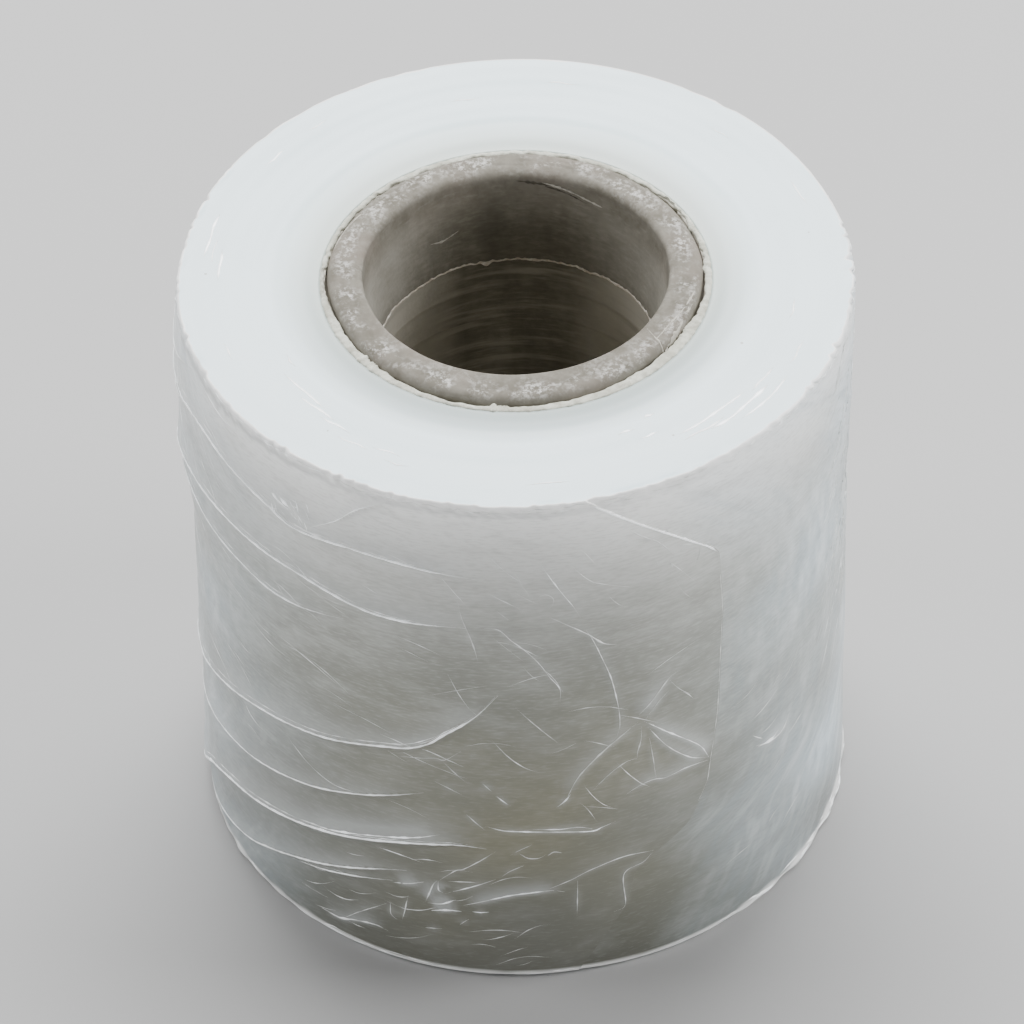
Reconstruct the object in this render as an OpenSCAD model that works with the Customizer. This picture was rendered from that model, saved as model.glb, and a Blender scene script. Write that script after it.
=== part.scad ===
// A small roll of clear stretch film, wound on a thick grey paper core and standing on its end.
// The roll's axis is Z, its foot is at Z = 0, and the side with the free end faces -Y.
// Places on the film are given as an angle from -Y, positive towards +X,
// and a height in hundredths of the film's width.

/* [Paper core] */
// Diameter of the hole at its narrowest, the torn edges of the turned-in ends
bore_d = 42.8; // [36:0.2:54]
// How much the radius of the hole grows from there to its mouths
mouth_flare = 1.4; // [0.2:0.1:2.4]
// Radial width of the rounded grey rim
rim_w = 5.5; // [4:0.1:8]
// Radius of the rim's inner rounding
rim_inner_r = 0.9; // [0.4:0.1:1.8]
// Radius of the rim's outer rounding
rim_outer_r = 1.3; // [0.4:0.1:2]
// Depth to which each end of the tube is turned in
collar_l = 16.1; // [10:0.1:22]
// Length of the straight wall above each torn edge
land_l = 2.0; // [1:0.5:5]
// Thickness of the torn edge, by which the bore opens behind it
collar_t = 0.5; // [0.4:0.1:1.5]
// Number of pressed rings behind each torn edge
ring_count = 3; // [1:1:4]
// Distance from ring to ring
ring_pitch = 6.3; // [4:0.1:7]
// How much the bore opens at each ring
ring_step = 0.35; // [0.2:0.05:0.6]
// Thickness of the pale outer ply
ply_t = 0.8; // [0.4:0.1:1.5]
// Width of the gap between the rim and the outer ply
ply_gap = 0.2; // [0.1:0.05:0.5]
// Depth of that gap
ply_gap_depth = 1.6; // [0.5:0.1:4]
// How far the ply's edge lies below the rim
ply_drop = 0.3; // [0:0.1:1.5]
// How much wider that gap is where it has split open
crack_open = 0.35; // [0:0.05:0.8]
// How much deeper it is there
crack_drop = 0.8; // [0.2:0.1:2]
// How far each rim stands out of the film
core_proud = 0.2; // [0:0.1:5]

/* [Wound film] */
// Width of the film, which is the height of the wound body
film_w = 100; // [84:1:160]
// Radial thickness of the wound turns
build_up = 21.0; // [12:0.5:40]
// Clearance between the core and the first turn
wind_gap = 0.03; // [0.02:0.01:0.2]
// Number of bands in which the turns lie a little higher or lower
band_count = 12; // [6:1:20]
// Largest depth of a band below the film's edge
band_depth = 0.35; // [0.2:0.05:0.8]
// Depth of the hollow in the turns next to the core
dish_depth = 0.9; // [0.4:0.1:2]
// Width of that hollow
dish_w = 2.4; // [1:0.1:5]

/* [Loose outer turn] */
// Thickness of the layer that is drawn as the outer turns
skin_t = 1.2; // [1:0.1:2.5]
// Height of the step at the film's free end
tail_step = 0.35; // [0.2:0.05:0.8]
// How far the outer turn stands off on its slack side
slack = 0.95; // [0:0.05:2]
// Rounding of the roll's two outer edges
edge_round = 0.5; // [0.2:0.1:0.8]
// Height of the raggedness along those edges
ragged = 0.12; // [0:0.02:0.2]
// Scale of the folds' height
fold_h = 1.0; // [0.5:0.1:1.6]
// Scale of the folds' width
fold_w = 1.0; // [0.6:0.1:1.6]

/* [Hidden] */
$fn = 180;
bore_r = bore_d / 2;
mouth_r = bore_r + mouth_flare;
rim_r = mouth_r + rim_w;
ply_r = rim_r + ply_gap;
core_r = ply_r + ply_t;
core_l = film_w + 2 * core_proud;
film_bore_r = core_r + wind_gap;
body_r = film_bore_r + build_up;
foot = core_proud;
chamfer = 0.2;

// Points of an arc about (cx, cy), from angle a0 to angle a1
function arc(cx, cy, r, a0, a1, n) =
    [for (i = [0 : n]) let (a = a0 + (a1 - a0) * i / n) [cx + r * cos(a), cy + r * sin(a)]];

// Radius and depth of the pressed rings, by which the bore opens in soft steps
function ring_points(i) =
    let (
        r = bore_r + collar_t + i * ring_step,
        d = collar_l + (i + 1) * ring_pitch
    )
    [[r, d - 3 * chamfer], [r - ring_step / 4, d - chamfer], [r + ring_step, d + chamfer]];

// Half of the core's section, as [radius, depth below the rim], from the outer ply to mid-length
function ply_edge() = [
    [core_r, ply_drop + chamfer],
    [core_r - chamfer, ply_drop],
    [ply_r, ply_drop],
    [ply_r, ply_gap_depth],
    [rim_r, ply_gap_depth]
];
function rim_edge() = concat(
    arc(rim_r - rim_outer_r, rim_outer_r, rim_outer_r, 0, -90, 6),
    arc(mouth_r + rim_inner_r, rim_inner_r, rim_inner_r, -90, -180, 6)
);
function collar() = [
    [bore_r, collar_l - land_l],
    [bore_r, collar_l - chamfer],
    [bore_r + chamfer, collar_l],
    [bore_r + collar_t, collar_l + chamfer]
];
function end_section() = concat(
    ply_edge(),
    rim_edge(),
    collar(),
    [for (i = [0 : ring_count - 1]) each ring_points(i)]
);

// Stretches of the gap beside the rim that have split open, as [angle, angle]
CRACKS = [[-100, -76], [68, 92], [108, 138]];
crack_w = ply_gap + crack_open;
crack_depth = ply_gap_depth + crack_drop;
module crack(from, to) {
    rotate([0, 0, from - 90])
        rotate_extrude(angle = to - from)
            translate([rim_r - crack_w / 2, core_l - crack_depth])
                square([crack_w, 2 * crack_depth]);
}

module core() {
    half = end_section();
    last = len(half) - 1;
    color([0.62, 0.60, 0.57])
        difference() {
            rotate_extrude()
                polygon(concat(
                    [for (p = half) [p.x, core_l - p.y]],
                    [for (i = [last : -1 : 0]) half[i]]
                ));
            for (c = CRACKS) crack(c[0], c[1]);
        }
}

// Depth of band i below the film's edge, at the top end or the foot end
function band_drop(i, end) = band_depth * (0.55 + 0.45 * sin(i * 137 + end * 71));

// The wound turns: a ring whose two faces are stepped where the turns shifted while winding
module wound_turns() {
    outer = body_r - skin_t / 2;
    first = film_bore_r + dish_w;
    band_w = (outer - first) / band_count;
    top = [for (i = [0 : band_count - 1]) each
        [[first + i * band_w, band_drop(i, 0)], [first + (i + 1) * band_w, band_drop(i, 0)]]];
    low = [for (i = [band_count - 1 : -1 : 0]) each
        [[first + (i + 1) * band_w, band_drop(i, 1)], [first + i * band_w, band_drop(i, 1)]]];
    rotate_extrude()
        polygon(concat(
            [[film_bore_r, foot + film_w - dish_depth]],
            [for (p = top) [p.x, foot + film_w - p.y]],
            [for (p = low) [p.x, foot + p.y]],
            [[film_bore_r, foot + dish_depth]]
        ));
}

// Smooth rise from 0 to 1 as x goes from a to b
function rise(x, a, b) = let (t = min(1, max(0, (x - a) / (b - a)))) t * t * (3 - 2 * t);
// Smooth hump of height 1 at c that falls to 0 at c - w and c + w
function hump(x, c, w) = abs(x - c) >= w ? 0 : (1 + cos(180 * (x - c) / w)) / 2;

// The free end: its edge as [height, angle], torn off aslant at the top and the foot
TAIL = [[0, 8], [13, 17], [21, 19], [27, 29], [34, 33], [48, 35], [70, 36], [82, 35], [89, 26], [99, 12], [100, 10]];
function tail_angle(h) = lookup(h, TAIL);

// Middle of the slack side and its reach to either side, in degrees to the left of the free end
SLACK_AT = 125;
SLACK_REACH = 105;
// Its stand-off over the height, as [height, share of slack]
BELLY = [
    [0, 0.05], [3, 0.1], [6.5, 0.42], [10, 0.22], [20, 0.05], [30, 0.16], [38, 0], [50, -0.06],
    [59, -0.32], [65, 0.42], [70, 0.63], [74, 0.9], [78, 1], [86, 0.88], [94, 0.75], [97, 0.42], [100, 0.25]
];

// How far the outer turn stands off the roll, s degrees to the left of its free end
function lift(s, h) =
    tail_step * (1 - s / 360) + slack * hump(s, SLACK_AT, SLACK_REACH) * lookup(h, BELLY);

// Ends of the layer are drawn in and ragged
function end_pull(h) = edge_round * (1 - min(rise(h, 0, 1.2), 1 - rise(h, 98.8, 100)));
function end_wave(s, h) =
    ragged * ((h == 0 ? 1 : 0) + (h == 100 ? -1 : 0)) * (1 + 0.6 * sin(s * 7) + 0.4 * sin(s * 17));

SKIN_ROWS = [0, 1.2, 3, 6.5, 11, 18, 25, 32, 39, 46, 53, 59, 65, 70, 75, 80, 87, 94, 98.8, 100];
SKIN_COLS = 90;
// Within this many degrees of the free end the columns lean with its edge, and then stand upright
LEAN = 65;
UPRIGHT_AT = 30;
function col_angle(j, h) =
    let (
        s = 360 * j / SKIN_COLS,
        near = max(1 - rise(s, 0, LEAN), rise(s, 360 - LEAN, 360))
    )
    UPRIGHT_AT + (tail_angle(h) - UPRIGHT_AT) * near - s;
function on_roll(angle, r, h) = [r * sin(angle), -r * cos(angle), foot + film_w * h / 100];
function skin_point(j, h) =
    let (
        s = 360 * j / SKIN_COLS,
        p = on_roll(col_angle(j, h), body_r + lift(s, h) - end_pull(h), h)
    )
    p + [0, 0, end_wave(s, h)];

// Two triangles for each cell between point a and b of one line and c and d of the next
function cell(a, b, c, d) = [[a, b, d], [a, d, c]];
// Triangles of a face with more corners, all from its first corner
function fan(corners) =
    [for (i = [1 : len(corners) - 2]) [corners[0], corners[i], corners[i + 1]]];

// The outer turns: a closed layer round the roll that ends in a step at the free end
module outer_turns() {
    rows = len(SKIN_ROWS);
    cols = SKIN_COLS + 1;
    inner = body_r - skin_t;
    outside = [for (j = [0 : cols - 1]) each [for (h = SKIN_ROWS) skin_point(j, h)]];
    inside = [for (j = [0 : cols - 2]) each
        [for (h = [0, 100]) on_roll(col_angle(j, h), inner, h) + [0, 0, end_wave(360 * j / SKIN_COLS, h)]]];
    first_in = len(outside);
    top = rows - 1;
    function o(j, i) = j * rows + i;
    function n(j, i) = first_in + (j % (cols - 1)) * 2 + i;
    polyhedron(
        points = concat(outside, inside),
        faces = concat(
            [for (j = [0 : cols - 2], i = [0 : rows - 2]) each cell(o(j, i + 1), o(j, i), o(j + 1, i + 1), o(j + 1, i))],
            [for (i = [0 : rows - 2]) each cell(o(cols - 1, i + 1), o(cols - 1, i), o(0, i + 1), o(0, i))],
            [for (j = [0 : cols - 2]) each cell(n(j, 0), n(j, 1), n(j + 1, 0), n(j + 1, 1))],
            [for (j = [1 : cols - 2]) each cell(n(j, 1), o(j, top), n(j + 1, 1), o(j + 1, top))],
            [for (j = [1 : cols - 2]) each cell(o(j, 0), n(j, 0), o(j + 1, 0), n(j + 1, 0))],
            fan([n(1, 1), n(0, 1), o(cols - 1, top), o(0, top), o(1, top)]),
            fan([n(1, 0), o(1, 0), o(0, 0), o(cols - 1, 0), n(0, 0)])
        )
    );
}

// Folds of the loose turn, each as [height, width, route of [angle, height on the roll]]
FOLDS = [
    // Long folds drawn round the left side
    [0.55, 1.9, [[-118, 97], [-98, 97], [-80, 95.5], [-68, 91], [-55, 88.5], [-40, 86.5], [-24, 86.7], [-7, 85.3]]],
    [0.40, 1.4, [[-40, 86.8], [-31, 92], [-23, 97.5]]],
    [0.60, 1.9, [[-122, 70], [-100, 69], [-86, 71], [-65, 75], [-50, 77], [-34, 77.2], [-10, 75]]],
    [0.40, 1.5, [[-110, 63], [-90, 65.5], [-77, 68], [-57, 68.5], [-43, 69.5], [-32, 71.3]]],
    [0.65, 2.0, [[-120, 25], [-98, 25], [-82, 28], [-55, 40], [-38, 45], [-20, 48], [-9, 57], [-5, 61.7]]],
    [0.45, 1.5, [[-92, 22], [-75, 23.5], [-58, 26], [-46, 30], [-32, 34.5], [-18, 38.9]]],
    [0.80, 2.6, [[-118, 12], [-98, 9], [-79, 10], [-63, 16], [-50, 20], [-30, 25.5], [-14, 30.3]]],
    [0.50, 1.6, [[-88, 4.5], [-71, 5.5], [-55, 9.4], [-44, 13.4], [-32, 17.4], [-22, 20.7]]],
    [0.35, 1.3, [[-45, 11], [-35, 15], [-25, 17]]],
    // Crumpled foot of the free end
    [0.50, 2.2, [[-42, 4], [-33, 5], [-23, 6.5]]],
    [0.45, 1.8, [[-36, 4.5], [-29, 9], [-21, 14.5]]],
    [0.45, 1.6, [[-27, 18.5], [-23, 16.5], [-18, 17.5]]],
    [0.50, 1.5, [[-21, 15.5], [-17, 11], [-8, 13.5]]],
    [0.40, 1.4, [[-20, 9.5], [-12, 11], [-6, 17]]],
    [0.30, 1.2, [[-9, 13.5], [5, 20], [16, 24.5], [20, 24]]],
    [0.35, 1.2, [[-14, 29.5], [-7, 28]]],
    [0.45, 1.4, [[-4, 32.4], [6, 31.5], [15, 32.6]]],
    // Creases of the free end
    [0.30, 1.2, [[-5, 75.5], [1, 70.5], [6, 62.5], [6, 58]]],
    [0.30, 1.2, [[3, 88.5], [9, 77.5], [14, 63.5], [16, 51.5]]],
    [0.35, 1.3, [[12, 98], [19, 91], [27, 86], [34, 82]]],
    [0.45, 1.5, [[19.2, 51.4], [23, 57], [27, 61.5]]],
    [0.50, 1.6, [[18.6, 54.2], [27, 48], [34, 39.5]]],
    [0.35, 1.3, [[21.4, 50.8], [22.4, 45], [24, 37]]],
    [0.40, 1.4, [[17.8, 51.6], [11, 46], [5, 37.4]]],
    [0.35, 1.3, [[33.5, 38.5], [25, 39], [16, 38]]],
    // Small crescent where the turn beneath was nicked
    [0.35, 1.5, [[44, 35.5], [47, 33.6], [50, 34.6]]]
];
FOLD_SINK = 0.35;
SPAN_STEPS = 3;

// Point of a smooth curve through the route, with t counted in points from 0
function route_point(route, t) =
    let (
        last = len(route) - 1,
        i = min(last - 1, floor(t)),
        u = t - i,
        a = route[max(0, i - 1)],
        b = route[i],
        c = route[i + 1],
        d = route[min(last, i + 2)]
    )
    0.5 * (2 * b + u * (c - a) + u * u * (2 * a - 5 * b + 4 * c - d) + u * u * u * (3 * b - a - 3 * c + d));
// Stand-off of the outer turn at any angle
function skin_r(angle, h) =
    let (s = tail_angle(h) - angle)
    body_r + lift(s >= 0 ? s : s + 360, h) - end_pull(h);

// One fold: a low ridge with a soft crest that tapers out at both ends of its route
module fold(height, width, route) {
    steps = (len(route) - 1) * SPAN_STEPS;
    across = [[-0.5, 0], [-0.16, 1], [0.1, 1], [0.5, 0]];
    function ring(k) =
        let (
            p = route_point(route, k / SPAN_STEPS),
            q = route_point(route, k / SPAN_STEPS + (k == steps ? -0.05 : 0.05)),
            along = (k == steps ? -1 : 1) * [(q.x - p.x) * body_r * PI / 180, (q.y - p.y) * film_w / 100],
            side = [-along.y, along.x] / norm(along),
            full = 0.12 + 0.88 * sqrt(sin(180 * k / steps))
        )
        [for (c = across)
            let (
                w = c.x * width * fold_w * (0.4 + 0.6 * full),
                angle = p.x + side.x * w * 180 / PI / body_r,
                h = p.y + side.y * w * 100 / film_w,
                r = skin_r(p.x, p.y) - FOLD_SINK + c.y * (FOLD_SINK + height * fold_h * full)
            )
            on_roll(angle, r, h)];
    n = len(across);
    polyhedron(
        points = [for (k = [0 : steps]) each ring(k)],
        faces = concat(
            [for (k = [0 : steps - 1], i = [0 : n - 1]) each
                cell(k * n + i, k * n + (i + 1) % n, (k + 1) * n + i, (k + 1) * n + (i + 1) % n)],
            [[for (i = [n - 1 : -1 : 0]) i]],
            [[for (i = [0 : n - 1]) steps * n + i]]
        )
    );
}

module film_roll() {
    color([0.86, 0.89, 0.90]) {
        wound_turns();
        outer_turns();
        for (f = FOLDS) fold(f[0], f[1], f[2]);
    }
}

core();
film_roll();
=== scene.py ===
"""The dressed model of a small roll of stretch film on a paper core. Metres, +Z up, the free end towards -Y.

Inside the mesh code lengths are millimetres. Places on the film are (angle, height): degrees from -Y,
positive towards +X, and millimetres above the film's foot.
"""
import math

import bpy
import numpy as np
from mathutils import Matrix, Vector


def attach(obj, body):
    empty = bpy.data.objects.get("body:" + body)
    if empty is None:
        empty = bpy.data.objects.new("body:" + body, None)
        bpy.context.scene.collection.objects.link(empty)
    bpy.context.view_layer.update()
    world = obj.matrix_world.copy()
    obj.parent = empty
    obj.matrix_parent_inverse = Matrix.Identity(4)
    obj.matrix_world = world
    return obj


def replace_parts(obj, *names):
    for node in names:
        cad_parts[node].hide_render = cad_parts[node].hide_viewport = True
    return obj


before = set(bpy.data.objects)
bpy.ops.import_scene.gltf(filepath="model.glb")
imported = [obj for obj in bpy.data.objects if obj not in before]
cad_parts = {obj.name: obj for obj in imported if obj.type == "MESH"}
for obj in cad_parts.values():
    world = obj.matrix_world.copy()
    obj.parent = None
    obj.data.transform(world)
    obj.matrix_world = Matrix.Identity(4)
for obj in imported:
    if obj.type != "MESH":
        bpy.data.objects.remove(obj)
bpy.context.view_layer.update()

MM = 0.001
FILM_W = 100.0
CORE_PROUD = 0.2
CORE_L = FILM_W + 2 * CORE_PROUD
CORE_R = 29.3
BORE_R = 29.33
BODY_R = 50.33
TAIL_STEP = 0.35
SLACK = 0.95
SLACK_AT = 125
SLACK_REACH = 105
LEAN = 65
UPRIGHT_AT = 30
EDGE_ROUND = 0.5
ROLL_R = 50.6
MM_PER_DEG = math.pi * BODY_R / 180

# The camera stands in front of the roll and looks down on it
CAM_FOCAL_PX = 6527.0
CAM_DISTANCE = 19.965 * ROLL_R * MM
CAM_ELEVATION = math.radians(43.749)
CAM_ROLL = math.radians(1.307)
CAM_YAW = 0.0014
CAM_PITCH = 0.0006
PHOTO_PX = 1024
SENSOR_MM = 36.0

# The free end as (height, angle), and the stand-off of the slack side as (height, share)
TAIL = np.array([
    (0, 8), (13, 17), (21, 19), (27, 29), (34, 33), (48, 35), (70, 36), (82, 35), (89, 26), (99, 12), (100, 10)])
BELLY = np.array([
    (0, 0.05), (3, 0.1), (6.5, 0.42), (10, 0.22), (20, 0.05), (30, 0.16), (38, 0), (50, -0.06), (59, -0.32),
    (65, 0.42), (70, 0.63), (74, 0.9), (78, 1), (86, 0.88), (94, 0.75), (97, 0.42), (100, 0.25)])
RIGHT_BELLY = np.array([(0, 0), (45, -0.1), (50, -0.2), (65, -0.3), (72, 0), (82, 0.15), (90, 0.3), (100, 0.3)])

# Folds drawn round the slack side, as (height, width above, width below, crease width, route)
FOLDS = [
    (0.85, 2.6, 0.8, 0.62, [(-118, 84), (-98, 86.5), (-77.9, 88.4), (-70.8, 90.2), (-64.1, 90.7), (-55.9, 89.5),
        (-47.0, 88.0), (-40.9, 86.5), (-33.4, 87.0), (-28.3, 87.4), (-17.2, 86.9), (-7.0, 85.3)]),
    (0.50, 1.3, 0.8, 0.34, [(-39.0, 86.8), (-32.4, 91.1), (-28.0, 95.1), (-23.0, 98.0), (-19.9, 99.2)]),
    (0.85, 2.4, 0.8, 0.66, [(-122, 64), (-104, 67), (-86.0, 72.9), (-77.9, 75.8), (-70.2, 77.3), (-58.4, 77.8),
        (-48.8, 77.8), (-39.9, 77.5), (-29.6, 76.0), (-24.7, 75.5), (-17.6, 75.5), (-9.7, 75.3)]),
    (0.60, 1.8, 0.8, 0.50, [(-112, 66), (-92, 70), (-77.1, 71.8), (-65.9, 71.0), (-55.6, 70.6), (-45.5, 69.8),
        (-35.6, 70.6), (-31.6, 71.3)]),
    (0.62, 3.0, 0.8, 0.55, [(-120, 27), (-100, 28), (-80.0, 31.9), (-72.1, 34.6), (-63.9, 37.3), (-56.3, 39.6),
        (-49.6, 41.4), (-36.4, 44.2), (-25.4, 47.1), (-20.3, 48.3), (-16.6, 50.2), (-13.8, 52.7), (-8.2, 57.4),
        (-4.6, 61.5)]),
    (0.40, 2.4, 0.8, 0.45, [(-92, 20), (-80, 22), (-71.4, 24.2), (-63.5, 26.2), (-50.5, 28.8), (-38.1, 31.9),
        (-25.0, 36.4), (-18.0, 38.8)]),
    (0.80, 3.4, 1.0, 0.70, [(-118, 6), (-102, 3), (-86.0, 4.2), (-73.7, 12.0), (-64.8, 16.0), (-56.9, 18.1),
        (-44.0, 21.5), (-32.2, 24.6), (-21.9, 27.5), (-14.0, 29.0), (-7.3, 28.4)]),
    (0.40, 2.0, 0.8, 0.42, [(-84, 2), (-70, 4.4), (-57.9, 7.6), (-52.0, 9.9), (-40.1, 14.6), (-27.9, 19.0),
        (-21.7, 20.6)]),
    (0.40, 1.6, 0.7, 0.40, [(-46, 11.5), (-35.0, 14.9), (-30.2, 16.1), (-24.4, 17.5)]),
    (0.30, 1.2, 0.8, 0.40, [(-67.9, 97.5), (-63.2, 97.3), (-57.2, 96.6), (-52.6, 97.0)]),
    (0.55, 1.6, 0.8, 0.50, [(-108, 93), (-96, 91.5), (-86, 92.0), (-78, 94.5), (-71, 97.2)]),
    (0.60, 1.8, 0.9, 0.50, [(-112, 76), (-100, 78), (-88, 82.5), (-80, 85), (-74, 86.5)]),
]

# Creases of the free end and the crumpled foot, as (height, crease width, whiteness, route)
CREASES = [
    (0.15, 0.40, 0.9, [(-25.4, 47.8), (-20.3, 49.2), (-16.6, 51.2), (-14.2, 52.9)]),
    (0.30, 0.60, 1.0, [(-39.6, 23.2), (-32.1, 25.5), (-27.1, 27.1), (-21.0, 28.9), (-15.2, 30.8)]),
    (0.30, 0.80, 0.9, [(-24.2, 17.1), (-21.4, 17.9), (-18.6, 19.0)]),
    (0.40, 0.90, 0.7, [(-39.6, 4.1), (-35.5, 4.3), (-32.1, 5.5), (-28.4, 6.2), (-25.7, 5.7)]),
    (0.25, 0.30, 0.4, [(-25.5, 12.0), (-30.6, 8.3), (-34.5, 4.8)]),
    (0.20, 0.30, 0.6, [(-25.2, 12.6), (-24.9, 10.1), (-23.8, 9.0)]),
    (0.25, 0.40, 0.5, [(-21.7, 14.9), (-22.2, 12.1), (-22.8, 9.4)]),
    (0.15, 0.30, 0.5, [(-3.3, 86.7), (-1.2, 86.7), (-0.2, 84.5), (0.8, 82.8), (0.9, 81.9)]),
    (0.20, 0.36, 0.7, [(2.4, 89.6), (4.1, 86.5), (6.2, 82.8), (8.3, 79.4), (9.5, 76.8)]),
    (0.20, 0.50, 0.5, [(4.3, 77.7), (7.5, 75.6), (10.7, 73.3), (13.3, 70.9), (16.2, 69.8)]),
    (0.20, 0.36, 0.7, [(10.4, 74.2), (11.6, 71.7), (13.2, 67.4), (14.5, 63.5), (15.4, 59.2), (15.9, 55.9),
        (16.0, 52.7), (15.5, 51.0)]),
    (0.15, 0.40, 0.4, [(-6.9, 83.5), (-4.5, 82.1), (-2.0, 80.6), (0.1, 79.3)]),
    (0.15, 0.40, 0.8, [(-4.4, 79.3), (-3.3, 78.3), (-2.3, 77.3)]),
    (0.20, 0.32, 0.6, [(-8.2, 75.5), (-4.4, 75.5), (-2.2, 73.3), (0.3, 70.9), (2.5, 68.1), (4.1, 65.3), (5.8, 62.6),
        (5.8, 59.7)]),
    (0.15, 0.40, 0.5, [(2.2, 81.8), (3.7, 82.4), (4.9, 81.6), (4.9, 80.3), (4.0, 79.3)]),
    (0.10, 0.40, 0.3, [(-10.9, 80.9), (-10.3, 77.4), (-8.6, 72.3), (-7.8, 68.4)]),
    (0.40, 0.45, 0.6, [(18.6, 53.3), (21.9, 56.7), (24.7, 59.7), (26.7, 60.7)]),
    (0.30, 0.36, 0.6, [(20.7, 52.8), (22.7, 55.5), (24.9, 57.2)]),
    (0.35, 0.50, 0.5, [(19.2, 52.6), (14.9, 49.8), (11.2, 46.5), (8.5, 43.3), (6.6, 39.0)]),
    (0.20, 0.60, 1.0, [(7.3, 40.0), (6.6, 39.0), (4.8, 37.3)]),
    (0.45, 0.50, 0.8, [(20.3, 52.5), (23.9, 49.4), (26.7, 47.0), (31.0, 42.8), (33.2, 38.8)]),
    (0.40, 0.42, 0.6, [(20.9, 51.1), (24.7, 45.6), (28.8, 41.5), (32.8, 39.1)]),
    (0.30, 0.40, 0.6, [(33.0, 38.5), (28.4, 39.3), (24.3, 39.0), (21.9, 39.5), (19.5, 39.0), (17.1, 37.8)]),
    (0.25, 0.36, 0.5, [(21.3, 48.7), (21.9, 44.4), (22.5, 39.5)]),
    (0.25, 0.36, 0.5, [(19.9, 51.5), (19.8, 49.2), (19.2, 46.7), (19.1, 44.9)]),
    (0.25, 0.36, 0.5, [(19.1, 44.9), (16.8, 44.7), (14.1, 43.1), (11.1, 40.1)]),
    (0.15, 0.36, 0.4, [(-22.1, 45.5), (-18.3, 46.2), (-15.6, 46.8), (-14.1, 46.7), (-11.2, 49.0)]),
    (0.15, 0.30, 0.4, [(-14.3, 46.2), (-12.3, 44.2), (-10.1, 42.2)]),
    (0.20, 0.42, 1.0, [(-7.9, 42.9), (-7.0, 42.0), (-6.1, 41.0)]),
    (0.20, 0.42, 1.0, [(-5.4, 40.1), (-4.1, 39.0), (-2.9, 37.9)]),
    (0.15, 0.30, 0.5, [(-15.9, 41.7), (-13.5, 40.8), (-11.3, 39.7)]),
    (0.15, 0.30, 0.5, [(-11.0, 36.0), (-9.2, 34.3), (-7.4, 32.5)]),
    (0.25, 0.45, 0.9, [(-7.4, 33.4), (-4.5, 32.7), (-0.1, 32.5), (5.4, 32.1), (11.0, 31.4), (12.5, 31.8),
        (15.2, 32.5)]),
    (0.20, 0.45, 1.0, [(0.7, 33.0), (5.5, 32.7), (8.4, 32.7), (11.0, 31.9)]),
    (0.20, 0.36, 0.5, [(-5.8, 27.9), (-8.3, 25.8), (-11.3, 23.5), (-12.9, 22.8), (-16.4, 19.4)]),
    (0.15, 0.30, 0.5, [(-3.3, 27.1), (-1.6, 28.4), (0.6, 29.5)]),
    (0.10, 0.40, 0.3, [(-1.6, 27.6), (-0.2, 26.6), (1.7, 26.5), (2.8, 27.2)]),
    (0.10, 0.40, 0.3, [(3.2, 26.9), (4.3, 27.7), (5.7, 27.3)]),
    (0.15, 0.36, 0.6, [(-4.7, 22.5), (-3.2, 23.8), (-0.9, 25.0)]),
    (0.25, 0.42, 0.8, [(-14.9, 17.3), (-10.3, 19.6), (-5.8, 21.8)]),
    (0.35, 0.55, 0.9, [(-11.6, 15.3), (-7.8, 16.9), (-3.6, 18.4), (-0.3, 19.0), (3.4, 19.3), (6.0, 18.7)]),
    (0.15, 0.34, 0.6, [(3.4, 19.7), (7.2, 21.2), (10.9, 22.9), (16.7, 24.3), (22.2, 23.6)]),
    (0.15, 0.30, 0.5, [(22.2, 23.6), (20.2, 21.8), (16.6, 20.2), (16.8, 13.3), (14.6, 12.2)]),
    (0.15, 0.26, 0.5, [(8.3, 20.8), (8.2, 16.8), (8.1, 12.4)]),
    (0.35, 0.80, 1.0, [(-18.1, 14.4), (-15.4, 15.1), (-12.9, 16.3)]),
    (0.40, 0.95, 1.0, [(-17.4, 12.9), (-14.6, 13.8), (-12.0, 13.8)]),
    (0.20, 0.42, 0.9, [(-10.1, 14.1), (-8.6, 14.2), (-7.1, 14.4)]),
    (0.15, 0.30, 0.6, [(-18.7, 8.7), (-17.1, 9.0), (-15.5, 9.2)]),
    (0.15, 0.30, 0.6, [(-12.4, 10.8), (-11.7, 11.6), (-10.7, 12.3)]),
    (0.35, 0.50, 0.7, [(-18.5, 14.5), (-17.6, 16.9), (-16.8, 19.1), (-16.0, 20.0)]),
    (0.30, 0.40, 0.7, [(-16.0, 20.0), (-15.9, 17.9), (-15.1, 17.5)]),
    (0.15, 0.30, 0.5, [(31.1, 84.5), (30.9, 83.0), (30.5, 81.8)]),
    (0.15, 0.34, 0.5, [(17.5, 93.1), (19.9, 91.0), (23.2, 88.5), (25.7, 85.2), (26.3, 83.1)]),
    (0.45, 1.10, 1.0, [(44.1, 34.9), (46.7, 34.1), (49.9, 33.7), (51.8, 34.3), (53.2, 35.8)]),
    (0.20, 1.00, 1.0, [(44.6, 34.4), (47.6, 34.2), (50.4, 34.9)]),
    (0.45, 1.6, 1.0, [(-46.5, 91.0), (-43.5, 89.8), (-41.0, 88.4)]),
    (0.45, 1.4, 1.0, [(-44.2, 91.4), (-42.4, 90.2), (-40.9, 88.9)]),
    (0.40, 1.2, 0.9, [(-41.8, 90.6), (-40.4, 89.4), (-39.2, 88.0)]),
    (0.35, 1.2, 1.0, [(-39.8, 89.8), (-38.9, 88.8), (-38.0, 87.7)]),
    (0.40, 1.5, 1.0, [(-41.5, 87.2), (-38.0, 87.2), (-33.5, 87.2)]),
    (0.20, 0.30, 0.8, [(22.6, 85.6), (22.9, 84.6), (23.2, 83.4)]),
    (0.20, 0.30, 0.8, [(25.2, 84.4), (25.5, 83.2), (25.9, 82.2)]),
    (0.20, 0.50, 0.7, [(43.2, 37.7), (44.4, 36.6), (45.8, 35.4)]),
]


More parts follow.
